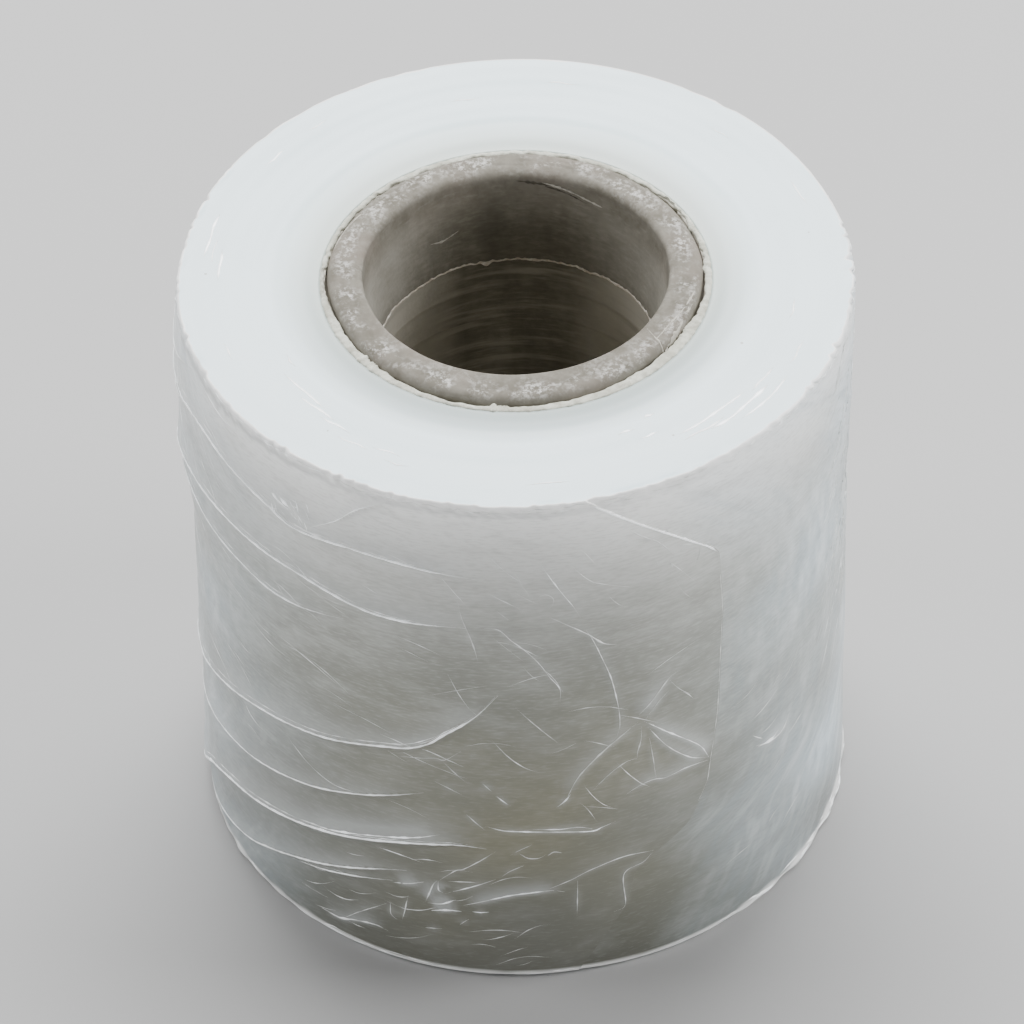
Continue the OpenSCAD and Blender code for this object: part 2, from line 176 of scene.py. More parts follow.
def rise(x, a, b):
    """A soft step from 0 at a to 1 at b."""
    t = np.clip((x - a) / (b - a), 0, 1)
    return t * t * (3 - 2 * t)


def hump(x, centre, reach):
    """1 at the centre, falling softly to 0 at the reach to either side."""
    return np.where(np.abs(x - centre) < reach, (1 + np.cos(np.pi * (x - centre) / reach)) / 2, 0)


def soft_table(table):
    """The table's values every 0.25 mm, with its corners rounded."""
    x = np.arange(-10, 110.1, 0.25)
    y = np.interp(x, table[:, 0], table[:, 1])
    k = np.hanning(17)
    return x, np.convolve(np.pad(y, 8, mode="edge"), k / k.sum(), mode="valid")


TAIL_X, TAIL_Y = soft_table(TAIL)
BELLY_X, BELLY_Y = soft_table(BELLY)
RIGHT_X, RIGHT_Y = soft_table(RIGHT_BELLY)


def tail_angle(h):
    """Where the torn free end lies at a height."""
    return np.interp(h, TAIL_X, TAIL_Y)


def wrap(angle):
    """The same angle between -180 and 180."""
    return (angle + 180) % 360 - 180


def waves(seed, count, turns, lengths, tilt=0.0):
    """A smooth random field over (angle, height) that closes on itself round the roll."""
    rng = np.random.default_rng(seed)
    terms = []
    for _ in range(count):
        m = int(rng.integers(turns[0], turns[1] + 1))
        k = 2 * math.pi / rng.uniform(*lengths) * rng.choice((-1, 1)) + tilt * m
        terms.append((m, k, rng.uniform(0, 2 * math.pi)))

    def field(angle, h):
        t = np.radians(angle)
        return sum(np.sin(m * t + k * h + p) for m, k, p in terms) / math.sqrt(count)
    return field


BILLOW = waves(3, 14, (2, 12), (20, 70))
WRINKLE = waves(5, 22, (3, 16), (4, 12))
RIPPLE = waves(8, 30, (8, 40), (2.5, 7))
RAGGED = waves(11, 30, (12, 160), (3, 9))
FRAY = waves(12, 24, (9, 60), (3, 9))
SLANT = waves(14, 24, (30, 90), (8, 16), -0.9)


def smooth_route(route, step=0.5):
    """Points along a smooth curve through the route, as millimetres round the roll and up it."""
    p = np.array([(a * MM_PER_DEG, h) for a, h in route])
    p = np.vstack([2 * p[0] - p[1], p, 2 * p[-1] - p[-2]])
    out = []
    for i in range(1, len(p) - 2):
        n = max(2, int(np.hypot(*(p[i + 1] - p[i])) / step))
        u = np.linspace(0, 1, n, endpoint=False)[:, None]
        a, b, c, d = p[i - 1], p[i], p[i + 1], p[i + 2]
        out.append(0.5 * (2 * b + u * (c - a) + u ** 2 * (2 * a - 5 * b + 4 * c - d)
                          + u ** 3 * (3 * b - a - 3 * c + d)))
    return np.vstack(out + [p[-2:-1]])


def along(points):
    return np.concatenate([[0], np.cumsum(np.hypot(*np.diff(points, axis=0).T))])


def ends_off(t, total, fade):
    """1 along a route, falling to 0 over its last stretch at either end."""
    fade = min(fade, total / 2.2)
    return rise(t, 0, fade) * (1 - rise(t, total - fade, total))


def ridge(u, v, route, up, down, fade):
    """Share, 0 to 1, of one fold's height at places u, v, and whether each lies above its crest."""
    q = smooth_route(route)
    if q[-1, 0] < q[0, 0]:
        q = q[::-1]
    t = along(q)
    reach = 2.6 * max(up, down)
    out, over = np.zeros(u.shape), np.zeros(u.shape, dtype=bool)
    near = ((u > q[:, 0].min() - reach) & (u < q[:, 0].max() + reach)
            & (v > q[:, 1].min() - reach) & (v < q[:, 1].max() + reach))
    if not near.any():
        return out, over
    pu, pv = u[near], v[near]
    d2 = (pu[:, None] - q[:, 0]) ** 2 + (pv[:, None] - q[:, 1]) ** 2
    k = d2.argmin(axis=1)
    d = np.sqrt(d2[np.arange(len(k)), k])
    way = np.gradient(q, axis=0)
    above = way[k, 0] * (pv - q[k, 1]) - way[k, 1] * (pu - q[k, 0]) > 0
    shape = np.where(above, np.exp(-(d / up) ** 1.4), np.exp(-(d / down) ** 2))
    out[near] = ends_off(t, t[-1], fade)[k] * shape
    over[near] = above
    return out, over


def relief(angle, h, whitening_sheen_shade=None):
    """What folds, creases and slackness add to the roll's radius. The last argument, if given, collects how they
    whiten the film, with a painted highlight above each fold's crest and a painted shadow below it.
    """
    angle = wrap(angle)
    u, v = angle * MM_PER_DEG, h
    s = (tail_angle(h) - angle) % 360
    left = hump(s, 100, 95)
    out = 0.05 * BILLOW(angle, h) + left * (0.06 * BILLOW(angle + 40, h + 30) + 0.04 * WRINKLE(angle, h))
    out += 0.012 * RIPPLE(angle, h) * (0.4 + left)
    right = hump(angle, 84, 50)
    out += right * (np.interp(h, RIGHT_X, RIGHT_Y) + 0.03 * WRINKLE(angle, h * 1.3) * rise(h, 30, 80))
    out += 0.06 * rise(angle, 58, 78) * (1 - rise(angle, 105, 130)) * SLANT(angle, h) * rise(h, 25, 70)
    slim = 1 - 0.6 * hump(angle, -100, 34)
    # The film whitens along folds and creases; this layer also paints a highlight above each fold's crest and a
    # shadow below it
    for height, up, down, _, route in FOLDS:
        share, over = ridge(u, v, route, up, down, 9)
        out += height * share * slim
        if whitening_sheen_shade is not None:
            whitening_sheen_shade += np.where(over, 1.0, -0.5) * share * (0.4 + height)
    for height, _, white, route in CREASES:
        broad = 1.7 if height > 0.26 else 0.75
        share, _ = ridge(u, v, route, broad, 0.6, 4)
        out += 0.5 * height * share
        if whitening_sheen_shade is not None:
            whitening_sheen_shade += (1.5 if broad > 1 else 0.7) * white * share
    # The crumple at the top left whitens, with a painted highlight
    if whitening_sheen_shade is not None:
        whitening_sheen_shade += 1.8 * hump(angle, -42.5, 4.5) * hump(h, 89.7, 2.2) * (0.7 + 0.5 * RIPPLE(angle * 2, h * 2))
    # Loose film between the rays of the star and in the crumpled foot
    out += 0.07 * hump(angle, 22, 14) * hump(h, 47, 14) * WRINKLE(angle * 2.0, h * 1.4)
    out += 0.16 * hump(angle, -41, 7) * hump(h, 89.5, 4) * WRINKLE(angle * 3.0, h * 2.0)
    out += 0.14 * hump(angle, -20, 20) * hump(h, 12, 13) * WRINKLE(angle * 1.6, h * 1.3)
    return out


def end_pull(h):
    """The rounding of the film's upper and lower edges."""
    low = np.clip(1 - h / 1.2, 0, 1)
    high = np.clip(1 - (FILM_W - h) / 1.2, 0, 1)
    return EDGE_ROUND * (1 - np.sqrt(1 - np.maximum(low, high) ** 2))


def foot_lip(angle):
    """How far the frayed lowest millimetre spreads, which is most on the right."""
    angle = wrap(angle)
    spread = 0.08 + 0.34 * hump(angle, 72, 50) + 0.12 * hump(angle, -60, 45)
    return spread * (1 + 0.5 * FRAY(angle, 20))


def skin_r(angle, h, s=None, whitening_sheen_shade=None):
    """Radius of the film's outside. s, degrees to the left of the free end, tells its two sides apart."""
    if s is None:
        s = (tail_angle(h) - angle) % 360
    lift = TAIL_STEP * (1 - s / 360) + SLACK * hump(s, SLACK_AT, SLACK_REACH) * np.interp(h, BELLY_X, BELLY_Y)
    cling = 0.20 * np.exp(-(s / 5) ** 2) - 0.05 * np.exp(-s / 0.8)
    ragged = np.maximum(RAGGED(angle, 3) - 0.2, 0) * rise(h, 98.3, 99.7)
    bites = (0.3 + 0.7 * hump(wrap(angle), 95, 60)) * ragged
    groove = 0.16 * hump(h, 98.9, 0.7) * (0.5 + 0.5 * RAGGED(angle, 7))
    lip = foot_lip(angle) * hump(h, 0.55, 0.85)
    return BODY_R + lift - cling - bites - groove + lip + relief(angle, h, whitening_sheen_shade) - end_pull(h)


def polar(angle, r, z):
    t = np.radians(angle)
    return np.stack([r * np.sin(t), -r * np.cos(t), z + 0 * t], axis=-1)


def to_xyz(angle, r, h):
    """A place given by its height above the film's foot."""
    return polar(angle, r, CORE_PROUD + h)


def build(name, points, faces, material_of=None, materials=(), layers=None, uv=None, sharp=None):
    """A mesh object from points in millimetres, with smooth faces, point layers and a UV map."""
    mesh = bpy.data.meshes.new(name)
    mesh.from_pydata((np.asarray(points) * MM).tolist(), [], [list(map(int, f)) for f in faces])
    mesh.polygons.foreach_set("use_smooth", [True] * len(mesh.polygons))
    for m in materials:
        mesh.materials.append(m)
    if material_of is not None:
        mesh.polygons.foreach_set("material_index", np.asarray(material_of, dtype=np.int32))
    for key, values in (layers or {}).items():
        values = np.asarray(values, dtype=np.float32)
        if values.ndim == 1:
            mesh.attributes.new(key, "FLOAT", "POINT").data.foreach_set("value", values)
        else:
            mesh.attributes.new(key, "FLOAT_VECTOR", "POINT").data.foreach_set("vector", values.ravel())
    if uv is not None:
        corner = np.empty(len(mesh.loops), dtype=np.int32)
        mesh.loops.foreach_get("vertex_index", corner)
        layer = mesh.uv_layers.new(name="UVMap")
        layer.data.foreach_set("uv", np.asarray(uv, dtype=np.float32)[corner].ravel())
    if sharp is not None:
        keys = np.empty(len(mesh.edges) * 2, dtype=np.int32)
        mesh.edges.foreach_get("vertices", keys)
        keys = keys.reshape(-1, 2)
        mesh.attributes.new("sharp_edge", "BOOLEAN", "EDGE").data.foreach_set("value", sharp(keys[:, 0], keys[:, 1]))
    mesh.update()
    mesh.validate()
    obj = bpy.data.objects.new(name, mesh)
    bpy.context.scene.collection.objects.link(obj)
    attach(obj, "root")
    return obj


def grid_faces(first, rows, cols):
    """Quads between closed rings of points, where point j of ring i is first + i * cols + j."""
    i, j = np.meshgrid(np.arange(rows - 1), np.arange(cols), indexing="ij")
    a, j = first + i.ravel() * cols, j.ravel()
    k = (j + 1) % cols
    return np.stack([a + j, a + k, a + cols + k, a + cols + j], axis=1)


def bridge(a, b, cols):
    """Quads between two closed rings of points that start at a and b."""
    j = np.arange(cols)
    k = (j + 1) % cols
    return np.stack([a + j, a + k, b + k, b + j], axis=1)


def make_film(side_material, end_material):
    """The wound film: the side with the free end's step, two end faces and the wall of its bore."""
    fine, coarse = 0.64, 2.3
    s = np.concatenate([np.arange(0, 152, fine), np.arange(152, 288, coarse), np.arange(288, 360, fine), [360]])
    h = np.concatenate([[0, 0.12, 0.4, 0.9, 1.4], np.linspace(1.9, 98.1, 180), [98.6, 99.1, 99.6, 99.88, 100]])
    near = np.maximum(1 - rise(s, 0, LEAN), rise(s, 360 - LEAN, 360))
    tail = tail_angle(h)[:, None]
    angle = UPRIGHT_AT + (tail - UPRIGHT_AT) * near - s
    angle[:, -1] += 0.15
    around = wrap(angle)
    hh = np.repeat(h[:, None], len(s), axis=1)
    turned = s + (tail - UPRIGHT_AT) * (1 - near)
    # Whitening along folds and creases, with their painted highlights and painted shadows
    whitening_sheen_shade = np.zeros(hh.shape)
    r = skin_r(angle, hh, turned, whitening_sheen_shade)
    rows, cols = r.shape
    side = to_xyz(angle, r, hh)
    for edge, way in ((0, 1), (-1, -1)):
        side[edge, :, 2] += way * 0.12 * (1 + 0.8 * FRAY(angle[edge], 9))
    # The frayed film whitens along the foot and the top edge; along the foot, widest on the right, the whitening
    # also paints the highlight of its ragged edge
    fray = np.maximum(1 - rise(hh, 0.6, 1.0 + 3 * foot_lip(angle)), 0.8 * rise(hh, 99.2, 99.8))
    # A painted shadow line just under the top edge, strongest at the front left
    under = hump(hh, 98.3 + 0.25 * RAGGED(angle, 13), 0.9)
    under *= 0.12 + 0.45 * hump(around, -58, 62) + 0.25 * hump(around, -2, 35)
    # A bluish tint with painted reflections and painted shade on the roll's left and right edges as seen from the
    # front, and on the flap by the free end
    cool_sheen_shade = 0.58 * hump(around, 76, 58) + 0.50 * hump(around, -80, 50)
    cool_sheen_shade += 0.10 * rise(around, 20, 34) * (1 - rise(around, 100, 140)) * (s > 300)
    wind = np.stack([turned * MM_PER_DEG, hh, 0 * hh], axis=-1).reshape(-1, 3)
    points = [side.reshape(-1, 3)]
    uv = [np.stack([turned / 360, 0.52 * hh / FILM_W], axis=-1).reshape(-1, 2)]
    # The last column joins the first, and the quads between them are the step at the free end
    faces = [grid_faces(0, rows, cols)]
    skin_faces = len(faces[0])

    def end_face(edge, out, fractions, cx):
        """One end face, ring by ring from the rim to the bore. out is 1 for the top and -1 for the foot."""
        start = sum(map(len, points))
        t = np.radians(angle[edge])
        for f in fractions:
            rad = BORE_R + (r[edge] - BORE_R) * f
            flat = CORE_PROUD + (FILM_W if out > 0 else 0) - out * top_drop(angle[edge], rad)
            share = rise(f, 0.955, 1.0)
            points.append(polar(angle[edge], rad, flat * (1 - share) + side[edge, :, 2] * share))
            uv.append(np.stack([cx + 0.21 * rad / 52 * np.sin(t), 0.76 - 0.21 * rad / 52 * np.cos(t)], axis=-1))
        rim = (rows - 1) * cols if out > 0 else 0
        faces.append(np.vstack([bridge(rim, start, cols), grid_faces(start, len(fractions), cols)])[:, ::out])
        return start + (len(fractions) - 1) * cols

    top_rings = np.concatenate([[0.992, 0.982, 0.968], np.linspace(0.95, 0.18, 26), np.linspace(0.165, 0.0, 10)])
    foot_rings = [0.99, 0.96, 0.85, 0.65, 0.45, 0.25, 0.12, 0.05, 0.0]
    top_in = end_face(-1, 1, top_rings, 0.25)
    foot_in = end_face(0, -1, foot_rings, 0.75)
    faces.append(bridge(top_in, foot_in, cols))
    points, faces = np.vstack(points), np.vstack(faces)

    def sharp(i, j):
        """The crest and the foot of the step at the free end."""
        last = rows * cols
        same = (i < last) & (j < last) & (np.abs(i - j) == cols)
        return same & ((i % cols == 0) | (i % cols == cols - 1))

    def on_skin(values):
        return np.concatenate([values.ravel(), np.zeros(len(points) - rows * cols)])

    layers = {
        "wind": np.vstack([wind, np.zeros((len(points) - len(wind), 3))]),
        "flap": on_skin(1 - rise(turned, 30, 70)),
        "whitening_sheen_shade": on_skin(whitening_sheen_shade),
        "fray": on_skin(fray),
        "under": on_skin(under),
        "cool_sheen_shade": on_skin(cool_sheen_shade * (0.75 + 0.35 * BILLOW(angle, hh))),
        "warm": on_skin(0.30 * hump(around, 0, 46) * hump(hh, 36, 42) * (1 + 0.5 * BILLOW(angle, hh + 50))),
    }
    film = build("film_roll_dressed", points, faces, np.arange(len(faces)) >= skin_faces,
                 (side_material, end_material), layers, np.vstack(uv), sharp)
    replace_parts(film, "film_roll")


def ribbon(route, width, stand, white, fade=3, wane=0.38):
    """One thin raised sliver along a route. It tapers out at both ends and waxes and wanes between them."""
    q = smooth_route(route, 0.4)
    t = along(q)
    phase = 5.1 * q[0, 0] + 3.7 * q[0, 1]
    swell = 1 - wane + wane * np.sin(0.9 * t + phase) * np.sin(0.37 * t + 2 * phase)
    full = (0.15 + 0.85 * ends_off(t, t[-1], fade)) * swell
    way = np.gradient(q, axis=0)
    way /= np.linalg.norm(way, axis=1)[:, None] + 1e-9
    side = np.stack([-way[:, 1], way[:, 0]], axis=1)
    side *= (1 + 0.9 * wane * np.sin(2.9 * t + phase))[:, None]
    across = [(-0.5, -0.12), (-0.28, 0.7), (0.05, 1.0), (0.3, 0.7), (0.5, -0.12)]
    place = np.stack([q + side * (c * width * full)[:, None] for c, _ in across], axis=1)
    proud = np.stack([e * stand * np.where(e > 0, full, 1) for _, e in across], axis=1)
    return place, proud, np.repeat(white * full, len(across))


def join_ribbons(name, ribbons, surface, material):
    """All slivers of one kind as one piece. The layer "white" carries how white each one is; in the crease materials
    it also sets a painted glow.
    """
    faces, count = [], 0
    for place, _, _ in ribbons:
        n, m = place.shape[:2]
        faces += grid_faces(count, n, m).tolist()
        faces += [[count + k for k in range(m)][::-1], [count + (n - 1) * m + k for k in range(m)]]
        count += n * m
    place = np.vstack([r[0].reshape(-1, 2) for r in ribbons])
    proud = np.concatenate([r[1].ravel() for r in ribbons])
    white = np.concatenate([r[2] for r in ribbons])
    points = surface(place[:, 0], place[:, 1], proud)
    return build(name, points, faces, None, (material,), {"white": white})


def on_side(u, h, e):
    angle = u / MM_PER_DEG
    return to_xyz(angle, skin_r(angle, h) + e, h)


# Faint hairline creases, glowing as painted glints, as (angles, heights, count, slope, length, whiteness, seed)
HAIRLINES = [
    ((-85, -15), (30, 95), 46, (-0.5, -0.1), (4, 14), (0.15, 0.45), 31),
    ((-42, 3), (3, 24), 26, (-0.2, 0.6), (3, 10), (0.1, 0.5), 32),
    ((66, 95), (35, 97), 60, (0.9, 2.0), (5, 16), (0.2, 0.6), 33),
    ((-12, 30), (35, 90), 34, (-2.0, 0.5), (3, 10), (0.1, 0.4), 34),
    ((40, 80), (10, 90), 24, (0.2, 0.9), (3, 9), (0.1, 0.3), 35),
    ((-88, -60), (80, 99), 26, (-1.0, -0.2), (4, 12), (0.3, 0.8), 36),
    ((100, 260), (5, 95), 60, (-0.4, 0.4), (5, 20), (0.1, 0.4), 37),
    ((-46, -36), (87, 91.2), 24, (-2.5, 0.3), (1.5, 4), (0.6, 1.0), 38),
]


def hairlines():
    """Random faint creases, each as a route, a width and a whiteness."""
    for angles, heights, count, slopes, lengths, whites, seed in HAIRLINES:
        rng = np.random.default_rng(seed)
        for _ in range(count):
            a, h = rng.uniform(*angles), rng.uniform(*heights)
            slope, length = rng.uniform(*slopes), rng.uniform(*lengths)
            bend, white = rng.uniform(-0.15, 0.15) * length, rng.uniform(*whites)
            run = length / math.hypot(1, slope)
            steps = np.linspace(-0.5, 0.5, 4)
            rises = [h + f * run * slope + bend * (1 - 4 * f * f) for f in steps]
            route = [(a + f * run / MM_PER_DEG, float(np.clip(x, 1.2, 98.6))) for f, x in zip(steps, rises)]
            yield route, rng.uniform(0.10, 0.22), white


# Frayed slivers along the edges, glowing as painted glints, as (angles, heights, count, length in degrees, width,
# whiteness, seed)
EDGES = [
    ((42, 100), (0.5, 1.5), 44, (3, 9), (0.35, 0.75), (0.7, 1.0), 41),
    ((-100, -20), (0.5, 1.1), 34, (3, 10), (0.15, 0.40), (0.3, 0.7), 42),
    ((-20, 42), (0.5, 1.0), 22, (3, 9), (0.12, 0.30), (0.2, 0.5), 43),
    ((-100, -35), (98.9, 99.5), 34, (2, 7), (0.15, 0.35), (0.5, 0.9), 44),
    ((-35, 30), (98.6, 99.4), 30, (2, 8), (0.10, 0.25), (0.2, 0.6), 45),
    ((40, 105), (98.8, 99.5), 34, (2, 7), (0.12, 0.35), (0.5, 1.0), 46),
    ((105, 260), (98.8, 99.5), 40, (2, 7), (0.10, 0.30), (0.3, 0.8), 47),
]


def frayed_edges():
    for angles, heights, count, lengths, widths, whites, seed in EDGES:
        rng = np.random.default_rng(seed)
        for _ in range(count):
            a, length = rng.uniform(*angles), rng.uniform(*lengths)
            h = rng.uniform(*heights) + rng.uniform(-0.25, 0.25, 4)
            yield ([(a + f * length, float(x)) for f, x in zip((-0.5, -0.2, 0.15, 0.5), h)], rng.uniform(*widths),
                   rng.uniform(*whites))


def make_creases(material):
    """White crests of the folds and creases of the outer turn, glowing as painted highlights."""
    ribbons = [ribbon(route, 0.9 * width, 0.13, 0.4 + 0.5 * height, 10, 0.2) for height, _, _, width, route in FOLDS]
    for height, _, _, width, route in FOLDS:
        if height > 0.55:
            gap = np.linspace(1.5, 0.3, len(route))
            ribbons.append(ribbon([(a, h + g) for (a, h), g in zip(route, gap)], 0.4 * width, 0.06, 0.3, 12, 0.5))
    ribbons += [ribbon(route, 0.62 * width, 0.07, 0.08 + 0.92 * white ** 3, 4) for _, width, white, route in CREASES]
    edge = [(float(tail_angle(x)) - 0.25, float(x)) for x in np.linspace(99.2, 81.5, 10)]
    ribbons.append(ribbon(edge, 0.45, 0.09, 0.9, 2, 0.12))
    edge = [(float(tail_angle(x)) - 0.2, float(x)) for x in np.linspace(81.5, 30, 24)]
    ribbons.append(ribbon(edge, 0.16, 0.03, 0.12, 3, 0.45))
    ribbons += [ribbon(route, width, 0.05, white) for route, width, white in hairlines()]
    ribbons += [ribbon(route, width, 0.07, white) for route, width, white in frayed_edges()]
    return join_ribbons("film_creases", ribbons, on_side, material)


# Frayed turns on the upper face, glowing as painted glints, as (angle, radius, length in degrees, width, whiteness)
NICKS = [
    (-95, 44.5, 9, 0.35, 0.8), (-103, 47.0, 12, 0.35, 0.9), (-99, 45.8, 7, 0.25, 0.6), (-128, 46.0, 6, 0.35, 0.9),
    (-140, 46.5, 5, 0.30, 0.7), (-52, 40.0, 14, 0.35, 0.7), (-46, 41.0, 10, 0.40, 0.9), (-40, 41.8, 8, 0.30, 0.8),
    (-34, 43.4, 7, 0.35, 0.8), (-27, 42.6, 6, 0.35, 0.9), (-24, 44.4, 5, 0.25, 0.6), (42, 42.5, 18, 0.40, 0.8),
    (47, 44.6, 16, 0.45, 0.9), (52, 46.2, 14, 0.35, 0.8), (38, 44.0, 10, 0.30, 0.6), (56, 43.4, 8, 0.35, 0.7),
    (24, 38.2, 4, 0.40, 0.9), (28, 40.5, 5, 0.35, 0.9), (31, 36.8, 3, 0.50, 0.8), (66, 45.2, 7, 0.25, 0.6),
    (78, 42.0, 6, 0.30, 0.6), (112, 46.5, 7, 0.30, 0.7), (135, 44.8, 5, 0.25, 0.6), (170, 45.0, 7, 0.25, 0.5),
    (-170, 41.5, 6, 0.25, 0.5), (-70, 45.5, 5, 0.25, 0.6), (-62, 38.0, 5, 0.25, 0.5), (5, 45.5, 8, 0.25, 0.5),
]


def top_drop(angle, radius):
    """How far the upper end face lies below the film's full width."""
    rings = 0.02 * np.sin(radius * 2.1 + 0.7 * np.sin(np.radians(angle) * 2)) + 0.03 * np.sin(radius * 0.83 + 1.0)
    dish = 0.75 * (1 - rise(radius, BORE_R, BORE_R + 4.5)) ** 1.4
    rings += 0.10 * hump(radius, 32.6, 1.5) - 0.08 * hump(radius, 35.0, 1.7)
    return 0.16 + rings * rise(radius, 30, 34) + 0.05 * BILLOW(angle, radius * 2) * rise(radius, 31, 40) + dish


def on_top(u, radius, e):
    """A place on the upper end face. u is the angle times MM_PER_DEG."""
    angle = u / MM_PER_DEG
    return to_xyz(angle, radius, FILM_W - top_drop(angle, radius) + e)


def make_nicks(material):
    ribbons = []
    for angle, radius, length, width, white in NICKS:
        route = [(angle + d * length, radius + 0.15 * math.sin(7 * d + angle)) for d in (-0.5, -0.2, 0.1, 0.5)]
        ribbons.append(ribbon(route, 1.5 * width, 0.09, white, 2, 0.2))
    return join_ribbons("turn_nicks", ribbons, on_top, material)


# The core's rim: outer radius, mouth radius and inner rounding by angle
RIM_OUT = np.array([(-180, 28.3), (-150, 28.2), (-98, 28.5), (-70, 27.7), (-43, 27.9), (-24, 28.3), (0, 28.1),
                    (26, 27.7), (47, 27.4), (71, 27.6), (94, 28.2), (137, 28.3), (180, 28.3)])
MOUTH = np.array([(-180, 22.8), (-140, 23.0), (-95, 23.1), (-60, 22.4), (-27, 22.0), (0, 21.9), (27, 21.9),
                  (60, 22.4), (95, 23.1), (140, 23.0), (180, 22.8)])
ROUND = np.array([(-180, 1.7), (-130, 1.3), (-95, 0.7), (-50, 0.7), (0, 0.8), (50, 0.7), (95, 0.7), (130, 1.3),
                  (180, 1.7)])
CRACKS = [(-100, -76), (68, 92), (108, 138)]
RIM_ROUND = 1.7
TORN_R = 21.4
TORN_DEPTH = 16.1
BAND_COUNT = 3
BAND_PITCH = 6.3
BAND_STEP = 0.35
MIDDLE = 50
CORE_DENT = waves(21, 20, (2, 14), (8, 30))
CORE_GRAIN = waves(22, 40, (20, 150), (1.5, 6))


def by_angle(table, a):
    """A table over the angle, smooth and closed round the circle."""
    x = np.arange(-180, 180, 1.0)
    y = np.interp(x, table[:, 0], table[:, 1])
    k = np.hanning(23)
    y = np.convolve(np.concatenate([y[-11:], y, y[:11]]), k / k.sum(), mode="valid")
    return np.interp(wrap(a), np.append(x, 180), np.append(y, y[0]))


def torn_line(a):
    """How far the torn edge wanders down the bore."""
    return 0.07 * CORE_GRAIN(a, 3) + 0.14 * CORE_DENT(a * 2, 9)


def splits(a):
    """How far the outer ply has come away from the rim, 0 to 1."""
    return sum(hump(a, (p + q) / 2, (q - p) / 2) for p, q in CRACKS)


def narrowing(mouth, depth):
    """Radius of the wall between the mouth and the torn edge."""
    return mouth + (TORN_R - mouth) * np.clip((depth - 1.5) / (TORN_DEPTH - 3.5), 0, 1)


def core_section(a, fancy):
    """The core's section at each angle, from the outer ply over the rim and down the bore, as radii and depths."""
    out_r = by_angle(RIM_OUT, a) + 0.10 * CORE_DENT(a, 0)
    mouth = by_angle(MOUTH, a) + 0.06 * CORE_DENT(a, 20)
    rnd = by_angle(ROUND, a)
    split = splits(a)
    gap = np.maximum(0.12 + 0.5 * split * (0.7 + 0.3 * CORE_GRAIN(a, 0)), 0.06) if fancy else 0.2
    ply_in = np.minimum(out_r + gap, CORE_R - 0.35)
    section = [(CORE_R, MIDDLE), (CORE_R, 6), (CORE_R, 1.8), (CORE_R - 0.15, 1.35), (ply_in + 0.1, 1.3),
               (ply_in, 1.5), (ply_in, 2.2 + split), (out_r - 0.02, 2.2 + split)]
    for t in np.radians(np.linspace(0, 90, 9)):
        section.append((out_r - RIM_ROUND * (1 - math.cos(t)), RIM_ROUND * (1 - math.sin(t))))
    flat_in, flat_out = mouth + rnd, out_r - RIM_ROUND
    for f in np.arange(1, 9) / 9:
        crown = 0.06 - 0.10 * math.sin(math.pi * f)
        section.append((flat_out + (flat_in - flat_out) * f, crown + 0.05 * CORE_DENT(a, f * 25 + 3)))
    for t in np.radians(np.linspace(0, 90, 10)):
        section.append((mouth + rnd * (1 - math.sin(t)), rnd * (1 - math.cos(t)) + 0.06))
    for depth in np.linspace(2.6, TORN_DEPTH - 2.0, 14):
        section.append((narrowing(mouth, depth) + 0.04 * CORE_DENT(a, depth * 2), depth))
    tear = torn_line(a)
    for up in (1.4, 0.7, 0.2):
        depth = TORN_DEPTH - up
        section.append((TORN_R + 0.03 * CORE_GRAIN(a, depth), depth + tear * (up < 1)))
    section += [(TORN_R + 0.1, TORN_DEPTH + 0.05 + tear), (TORN_R + 0.5, TORN_DEPTH + 0.2 + tear)]
    r, depth = TORN_R + 0.5, TORN_DEPTH + 1.2
    for band in range(1, BAND_COUNT + 1):
        at = TORN_DEPTH + band * BAND_PITCH
        section += [(r, depth), (r, at - 1.4), (r - 0.10, at - 0.7), (r - 0.16, at - 0.15), (r + 0.1, at + 0.1),
                    (r + BAND_STEP, at + 0.25)]
        r, depth = r + BAND_STEP, at + 1.2
    section += [(r, depth), (r, MIDDLE)]
    return [np.array([np.broadcast_to(p[i], a.shape) for p in section]) for i in (0, 1)]


def revolve(name, rings, material, layers=None, uv=None):
    """A closed ring whose section, going round it, is the rings' points. Each ring is (radius, z) by angle."""
    n, cols = len(rings), max(np.size(v) for v in rings[0])
    a = np.linspace(-180, 180, cols, endpoint=False)
    points = np.vstack([polar(a, r, z) for r, z in rings])
    faces = np.vstack([grid_faces(0, n, cols), bridge((n - 1) * cols, 0, cols)])
    return build(name, points, faces[:, ::-1], None, (material,), layers, uv)


def make_core(material):
    """The paper core. Its lower end is the upper one's section turned a little, without the split ply."""
    cols = 480
    a = np.linspace(-180, 180, cols, endpoint=False)
    top_r, top_d = core_section(a, True)
    low_r, low_d = core_section(wrap(a + 20), False)
    rings = list(zip(top_r, CORE_L - top_d)) + list(zip(low_r[::-1], np.maximum(low_d[::-1], 0)))
    radius, z = (np.concatenate([ring[i] for ring in rings]) for i in (0, 1))
    ply = (radius > 28.45) & ((z > CORE_L - 2.0) | (z < 2.0))
    steps = [np.hypot(np.mean(q[0] - p[0]), np.mean(q[1] - p[1])) for p, q in zip(rings, rings[1:])]
    length = np.concatenate([[0], np.cumsum(steps)])
    uv = np.stack([np.tile((a + 180) / 360, len(rings)), np.repeat(length / length[-1], cols)], axis=-1)
    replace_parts(revolve("core_dressed", rings, material, {"ply": ply.astype(float)}, uv), "core")


